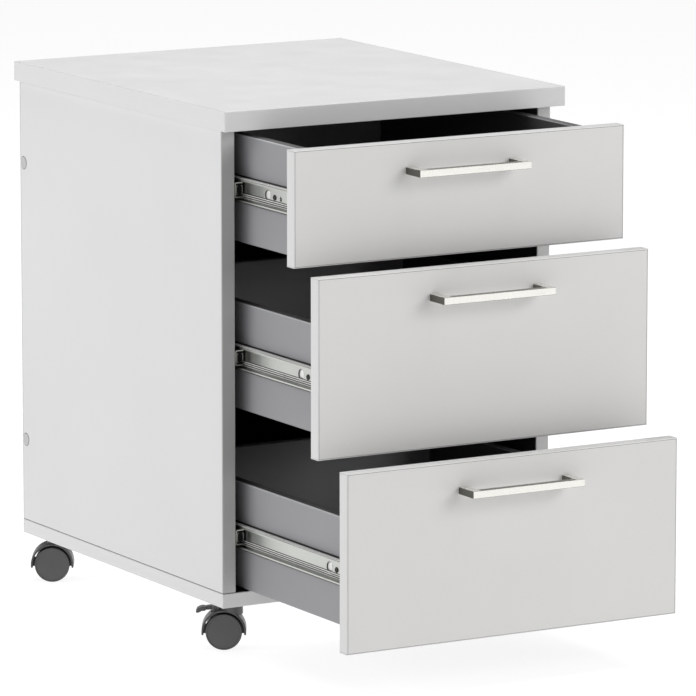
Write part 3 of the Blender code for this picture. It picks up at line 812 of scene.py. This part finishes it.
def build_slide(level, side, sign, body):
    """The drawer's runner with its access hole and screws, the cabinet's runner, its end stop and
    the ball cage between them."""
    node = f"{level}_{side}_drawer_runner"
    low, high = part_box(node)
    web, tip = (high.x, low.x) if sign < 0 else (low.x, high.x)
    middle = (low.z + high.z) / 2
    shift = Matrix.Translation((0, 0, middle)) @ UPRIGHT
    outline = channel(web, tip, (high.z - low.z) / 2, LIP, RACE_ROUND)
    runner = prism(outline, low.y, high.y, shift)
    hole_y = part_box(level + "_drawer_front")[1].y + HOLE_BEHIND_FRONT[level]
    face = web + sign * STEEL
    reach = Vector((sign * 2 * STEEL, 0, 0))
    holes = ((0, HOLE_RADIUS), (SCREW_STEP, SCREW_HOLE_RADIUS), (NAIL_STEP, SCREW_HOLE_RADIUS))
    cuts = []
    for offset, radius in holes:
        spot = Vector((web, hole_y - offset, middle))
        cuts.append(("DIFFERENCE", cylinder(radius, spot - 0.5 * reach, spot + reach, 40)))
    runner = combined(runner, cuts)
    # Painted shade along the foot of the lip's outer face
    shade_low = low - Vector((0, MM, MM))
    shade_high = Vector((0, high.y + MM, low.z + LIP_SHADE))
    painted(runner, BLACK_SHADE, 0, sign, shade_low, shade_high)
    for polygon in runner.faces:
        centre = polygon.calc_center_median()
        in_hole = math.hypot(centre.y - hole_y, centre.z - middle) < HOLE_RADIUS + 0.1 * MM
        # Painted highlight on the top flange
        if polygon.normal.z > 0.7 and centre.z > high.z - STEEL:
            polygon.material_index = HIGHLIGHTED
        # Painted shade under the lower bend
        elif polygon.normal.z < -0.15 and centre.z < low.z + STEEL:
            polygon.material_index = BLACK_SHADE
        # Painted shade on the wall of the access hole
        elif in_hole and abs(polygon.normal.x) < 0.3:
            polygon.material_index = BLACK_SHADE

    # The light disc that shows through the access hole, as painted light, the rims of the holes and
    # the screw, drawn dark in the painted shade
    disc = cylinder(1.2 * HOLE_RADIUS, (web - sign * 0.25 * MM, hole_y, middle),
                    (web - sign * 0.05 * MM, hole_y, middle), 40)
    hole, screw, nail = (facing((face, hole_y - offset, middle), (sign, 0, 0)) for offset, _ in holes)
    parts = [runner] + race_lines(web, sign, low, high) + [
        (disc, HIGHLIGHTED), (rim_ring(hole, HOLE_RADIUS), ROLLED),
        (rim_ring(nail, SCREW_HOLE_RADIUS), ROLLED), (pan_screw(screw, *SLIDE_SCREW), BLACK_SHADE)]
    add_piece(f"{level}_{side}_drawer_profile", parts, [ZINC, PAINTED_BLACK_SHADE, ZINC_HIGHLIGHT], body,
              [node])

    node = f"{level}_{side}_cabinet_runner"
    low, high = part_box(node)
    web, tip = (low.x, high.x) if sign < 0 else (high.x, low.x)
    outline = channel(web, tip, (high.z - low.z) / 2, 0, CABINET_RACE_ROUND)
    add_piece(f"{level}_{side}_cabinet_profile", [prism(outline, low.y, high.y, shift)], [ZINC],
              "carcass", [node])
    build_end_stop(level, side, web, tip, low.y, middle)
    build_cage(level, side)


def build_end_stop(level, side, web, tip, front, middle):
    """The black buffer in the mouth of the cabinet's runner, with two small steel clips."""
    toward = 1 if tip > web else -1
    clear = 0.2 * MM
    inner = web + toward * (STEEL + clear)
    outer = tip - toward * clear
    low = Vector((min(inner, outer), front + 0.4 * MM, middle - STOP_HALF_HEIGHT))
    high = Vector((max(inner, outer), front + STOP_LENGTH, middle + STOP_HALF_HEIGHT))
    rounds = [(1, 2, 1, 1.2 * MM), (1, 2, -1, 1.2 * MM)]
    parts = [(block(low, high, rounds, 0.25 * MM), 0)]
    place = Matrix.Translation((0, 0, middle)) @ UPRIGHT
    for edge, turn in ((inner, toward), (outer, -toward)):
        near = edge + turn * 0.5 * MM
        far = edge + turn * 2.0 * MM
        bend = 0.6 * MM
        line = [(far, -CLIP_HALF_HEIGHT, 0), (near, -CLIP_HALF_HEIGHT, bend),
                (near, CLIP_HALF_HEIGHT, bend), (far, CLIP_HALF_HEIGHT, 0)]
        clip = strip(rounded(line, closed=False, steps=3), 0.5 * MM)
        parts.append((prism(clip, front - 0.2 * MM, front + 0.9 * MM, place, 0.1 * MM), 1))
    add_piece(f"{level}_{side}_end_stop", parts, [BLACK, ZINC], "carcass")


def build_cage(level, side):
    """The plastic ball cage, with a row of balls in its upper and lower flange."""
    node = f"{level}_{side}_ball_cage"
    dress_node(node, BLACK, 0.15 * MM)
    low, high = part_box(node)
    x = (low.x + high.x) / 2
    row = (high.z - low.z) / 2 - BALL_FROM_EDGE
    middle = (low.z + high.z) / 2
    balls = []
    for i in range(BALLS_IN_A_ROW):
        y = low.y + (high.y - low.y) * (i + 0.5) / BALLS_IN_A_ROW
        for sign in (-1, 1):
            profile = [(point.x, point.y) for point in arc((0, 0), BALL_RADIUS, 90, -90, 8)]
            profile[0] = (0, BALL_RADIUS)
            profile[-1] = (0, -BALL_RADIUS)
            balls.append(lathe(profile, 16, Matrix.Translation((x, y, middle + sign * row))))
    add_piece(f"{level}_{side}_balls", balls, [BALL], f"{level}_{side}_cage")


def build_drawers():
    around = (LEFTWARD, RIGHTWARD, DOWNWARD, UPWARD)
    for level in LEVELS:
        body = level + "_drawer"
        add_board(level + "_front_board", level + "_drawer_front", around, 0,
                  [FRONT, FRONT_BAND, GLUE_AND_GAP_SHADE], body)
        build_box(level, body)
        build_handle(level, body)
        for side, sign in SIDES:
            build_slide(level, side, sign, body)


# ---- castors ------------------------------------------------------------------------------
# Castor parts are drawn about their own swivel axis: t along X, v along Y, the floor at z = 0.

def castor_place(name):
    """Where a castor stands, turned so that it trails as its wheels' axle says."""
    x, y, _ = JOINTS[name + "_swivel"]["pos_m"]
    axle = JOINTS[name + "_wheel_a_spin"]["axis"]
    return Matrix.Translation((x, y, 0)) @ Matrix.Rotation(math.atan2(-axle[0], axle[1]), 4, "Z")


def rounded_rectangle(low, high, radius):
    return rounded([(low[0], low[1], radius), (high[0], low[1], radius),
                    (high[0], high[1], radius), (low[0], high[1], radius)], steps=4)


def housing(axle_height, block_top, braked):
    """The hood over both wheels, the web between them, the swivel block and the axle."""
    centre = Vector((TRAIL, 0, axle_height))
    inner = HOOD_RADIUS - HOOD_THICKNESS
    skirt = math.degrees(math.asin(HOOD_SKIRT / HOOD_RADIUS))
    section = rounded_rectangle((inner, -HOOD_HALF_WIDTH), (HOOD_RADIUS, HOOD_HALF_WIDTH), 0.8 * MM)
    hood = swept_arc(section, centre, -skirt, 180 + skirt, 72, 0.5 * MM)

    # The web reaches into the hood's shell, and round the axle at its open foot
    boss = 2.2 * AXLE_RADIUS
    web_line = arc((TRAIL, axle_height), inner + 0.8 * MM, -skirt, 180 + skirt, 64)
    web_line += arc((TRAIL, axle_height), boss, 180 + 25, 360 - 25, 16)
    web = prism(web_line, -WEB_HALF, WEB_HALF, UPRIGHT, 0.3 * MM)

    # The swivel block and the lever's lugs stop inside the hood's shell
    edge = 1.2 * MM
    profile = [(0, block_top - BLOCK_HEIGHT), (BLOCK_RADIUS, block_top - BLOCK_HEIGHT)]
    profile += [(p.x, p.y) for p in arc((BLOCK_RADIUS - edge, block_top - edge), edge, 0, 90, 5)]
    profile.append((0, block_top))
    pivot = centre + Vector((LEVER_PIVOT_T, 0, LEVER_PIVOT_UP))
    steps = []
    if braked:
        for sign in (-1, 1):
            near = pivot + Vector((0, sign * LUG_INSIDE, 0))
            far = pivot + Vector((0, sign * LUG_OUTSIDE, 0))
            steps.append(("UNION", cylinder(LUG_RADIUS, near, far, 40)))
    for sign in (-1, 1):
        near = Vector((TRAIL, sign * (WEB_HALF - 0.4 * MM), axle_height))
        far = Vector((TRAIL, sign * 2 * HOOD_HALF_WIDTH, axle_height))
        steps.append(("DIFFERENCE", cylinder(inner + 1.1 * MM, near, far, 96)))
    steps = [("UNION", web), ("UNION", combined(lathe(profile, 64), steps))]

    # The narrow window beside the trailing arm
    turn = Matrix.Translation(centre) @ Matrix.Rotation(-math.radians(32), 4, "Y")
    opening = rounded_rectangle((inner - 2.4 * MM, -5 * MM), (inner - 0.1 * MM, 5 * MM), 0.9 * MM)
    steps.append(("DIFFERENCE", prism(opening, -4 * MM, 4 * MM, turn @ UPRIGHT)))

    # Room for the lever's nose and barrel, and the holes for its trunnions
    if braked:
        slot_low = pivot + Vector((-2.2 * MM, -LUG_INSIDE, -10.5 * MM))
        slot_high = pivot + Vector((5 * MM, LUG_INSIDE, 0))
        steps.append(("DIFFERENCE", block(slot_low, slot_high, fine=0)))
        for radius, half, count in ((3.1 * MM, LUG_INSIDE, 40), (1.7 * MM, 9 * MM, 24)):
            reach = Vector((0, half, 0))
            steps.append(("DIFFERENCE", cylinder(radius, pivot - reach, pivot + reach, count)))

    axle = Vector((0, AXLE_HALF_LENGTH, 0))
    steps.append(("UNION", cylinder(AXLE_RADIUS, centre - axle, centre + axle, 40)))
    pin_top = block_top + 2 * MM
    head = pin_top - PIN_HEAD_HEIGHT
    pin = [(0, block_top - MM), (PIN_RADIUS, block_top - MM), (PIN_RADIUS, head),
           (PIN_HEAD_RADIUS, head), (PIN_HEAD_RADIUS, pin_top), (0, pin_top)]
    steps.append(("UNION", lathe(pin, 36)))
    return combined(hood, steps)


def wheel(half):
    """One wheel about Z, its outer face up: a dome, a shallow groove, the tread and a hollow back
    round the bore."""
    rim = WHEEL_RADIUS
    sag = 0.75 * MM
    outer_round, inner_round = 1.3 * MM, 1.2 * MM
    hollow = -half + 3.5 * MM
    bore = AXLE_RADIUS + 0.3 * MM
    bore_end = half - 2.4 * MM

    profile = [(0, half)]
    dome = 0.90 * rim
    for i in range(1, 9):
        radius = dome * i / 8
        profile.append((radius, half - sag * (i / 8) ** 2))
    profile += [(0.915 * rim, half - sag), (0.925 * rim, half - sag / 3)]
    for point in arc((rim - outer_round, half - outer_round), outer_round, 84, 6, 8):
        profile.append((point.x, point.y))
    profile += [(rim, half - 3.2 * MM), (rim, -half + 1.6 * MM)]
    for point in arc((rim - inner_round, -half + inner_round), inner_round, -6, -90, 6):
        profile.append((point.x, point.y))
    profile += [(0.84 * rim, -half), (0.82 * rim, hollow), (0.45 * rim, hollow), (0.43 * rim, -half),
                (bore, -half), (bore, bore_end), (0, bore_end)]
    return lathe(profile, 96)


def lever():
    """The brake lever about its pivot: barrel with trunnions, nose and ribbed pedal."""
    reach = Vector((0, 7.4 * MM, 0))
    barrel = Vector((0, 4.6 * MM, 0))
    steps = [("UNION", cylinder(1.4 * MM, -reach, reach, 24))]
    # Outlines in millimetres: corners as (t, z, radius)
    nose = [(-0.6, -1.5, 0), (3.4, -1.0, 0), (3.1, -8.0, 0.6), (0.5, -6.7, 0.6)]
    arm = [(-0.5, 2.1, 0), (8, 1.5, 3), (13, 0.4, 0), (13, -2.9, 0), (8, -2.6, 3), (0.5, -2.1, 0)]
    pedal = [(11, 1.1, 1.5), (16, 0.6, 4), (20.6, -1.4, 3), (22.1, -5.9, 1.2), (18.5, -5.6, 3),
             (15, -3.8, 3), (11, -3.4, 0.5)]
    for outline, half, edge in ((nose, 4.3, 0.3), (arm, 4.5, 0.3), (pedal, 6.5, 0.7)):
        points = rounded([(t * MM, z * MM, radius * MM) for t, z, radius in outline])
        steps.append(("UNION", prism(points, -half * MM, half * MM, UPRIGHT, edge * MM)))
    parts = [combined(cylinder(2.5 * MM, -barrel, barrel, 40), steps)]
    side = Vector((0, 5.4 * MM, 0))
    for t, height in ((14.2, 0.75), (16.2, 0.45), (18.0, -0.3)):
        rib = Vector((t * MM, 0, height * MM))
        parts.append(cylinder(0.45 * MM, rib - side, rib + side, 16))
    return parts


def moved(bm, place):
    """A mesh taken to its place, its normals outward again."""
    bmesh.ops.transform(bm, matrix=place, verts=bm.verts)
    bmesh.ops.recalc_face_normals(bm, faces=bm.faces)
    return bm


def build_castors():
    """Four twin-wheel castors. The front two have a brake lever."""
    for end, side in CASTORS:
        name = f"{end}_{side}_castor"
        place = castor_place(name)
        braked = end == "front"
        axle_height = JOINTS[name + "_wheel_a_spin"]["pos_m"][2]
        plate_low, plate_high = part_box(name + "_plate")
        block_top = plate_low.z - PLATE_CLEAR
        add_piece(name + "_hood", [moved(housing(axle_height, block_top, braked), place)], [CASTOR],
                  name, [name + "_housing"])
        for letter, sign in (("a", 1), ("b", -1)):
            spot = Matrix.Translation((TRAIL, sign * WHEEL_OFFSET, axle_height))
            turn = Matrix.Rotation(-sign * math.pi / 2, 4, "X")
            roller = moved(wheel(WHEEL_HALF_WIDTH), place @ spot @ turn)
            node = f"{name}_wheel_{letter}"
            add_piece(f"{name}_roller_{letter}", [roller], [WHEEL], node, [node])
        if braked:
            pivot = Matrix.Translation((TRAIL + LEVER_PIVOT_T, 0, axle_height + LEVER_PIVOT_UP))
            parts = [moved(part, place @ pivot) for part in lever()]
            add_piece(name + "_pedal", parts, [CASTOR], name + "_brake",
                      [name + "_brake_lever"])
        dress_node(name + "_plate", PLATE, 0.3 * MM)
        middle = (plate_low + plate_high) / 2
        half_pitch = PLATE_SCREW_PITCH / 2
        screws = []
        for x in (-half_pitch, half_pitch):
            for y in (-half_pitch, half_pitch):
                spot = (middle.x + x, middle.y + y, plate_low.z)
                screws.append(pan_screw(facing(spot, (0, 0, -1))))
        add_piece(name + "_plate_screws", screws, [SCREW], "carcass")


# ---- studio -------------------------------------------------------------------------------

def build_floor():
    bpy.ops.mesh.primitive_plane_add(size=FLOOR_SIZE)
    floor = bpy.context.object
    floor.name = "studio_floor"
    material = bpy.data.materials.new("studio_floor")
    material.use_nodes = True
    shader = material.node_tree.nodes["Principled BSDF"]
    shader.inputs["Base Color"].default_value = (FLOOR_GREY, FLOOR_GREY, FLOOR_GREY, 1)
    shader.inputs["Roughness"].default_value = 0.9
    shader.inputs["Emission Color"].default_value = (1, 1, 1, 1)
    shader.inputs["Emission Strength"].default_value = FLOOR_GLOW
    floor.data.materials.append(material)


def add_light(name, place, size, power):
    data = bpy.data.lights.new(name, "AREA")
    data.shape = "SQUARE"
    data.size = size
    data.energy = power
    lamp = bpy.data.objects.new(name, data)
    bpy.context.scene.collection.objects.link(lamp)
    lamp.location = place
    lamp.rotation_euler = (Vector(place) - KEY_POINT).to_track_quat("Z", "Y").to_euler()
    lamp.visible_camera = False


def build_studio():
    build_floor()
    scene = bpy.context.scene
    world = bpy.data.worlds.new("studio")
    world.use_nodes = True
    backdrop = world.node_tree.nodes["Background"]
    backdrop.inputs["Color"].default_value = (1, 1, 1, 1)
    backdrop.inputs["Strength"].default_value = WORLD_STRENGTH
    scene.world = world
    add_light("side", (-3.8, 1.4, 1.9), 2.4, 68)
    add_light("front", (2.4, -4.0, 2.2), 2.4, 94)
    add_light("top", (0.2, 0.3, 4.2), 3.0, 122)
    scene.view_settings.view_transform = "Standard"


def build_camera():
    back = Vector((math.sin(AZIMUTH) * math.cos(ELEVATION),
                   -math.cos(AZIMUTH) * math.cos(ELEVATION), math.sin(ELEVATION)))
    data = bpy.data.cameras.new("camera")
    data.lens = LENS
    data.sensor_width = SENSOR_WIDTH
    data.clip_end = 300
    camera = bpy.data.objects.new("camera", data)
    bpy.context.scene.collection.objects.link(camera)
    camera.location = AIM + back * DISTANCE
    camera.rotation_euler = back.to_track_quat("Z", "Y").to_euler()
    bpy.context.scene.camera = camera


build_carcass()
build_caps()
build_drawers()
build_castors()
build_studio()
build_camera()
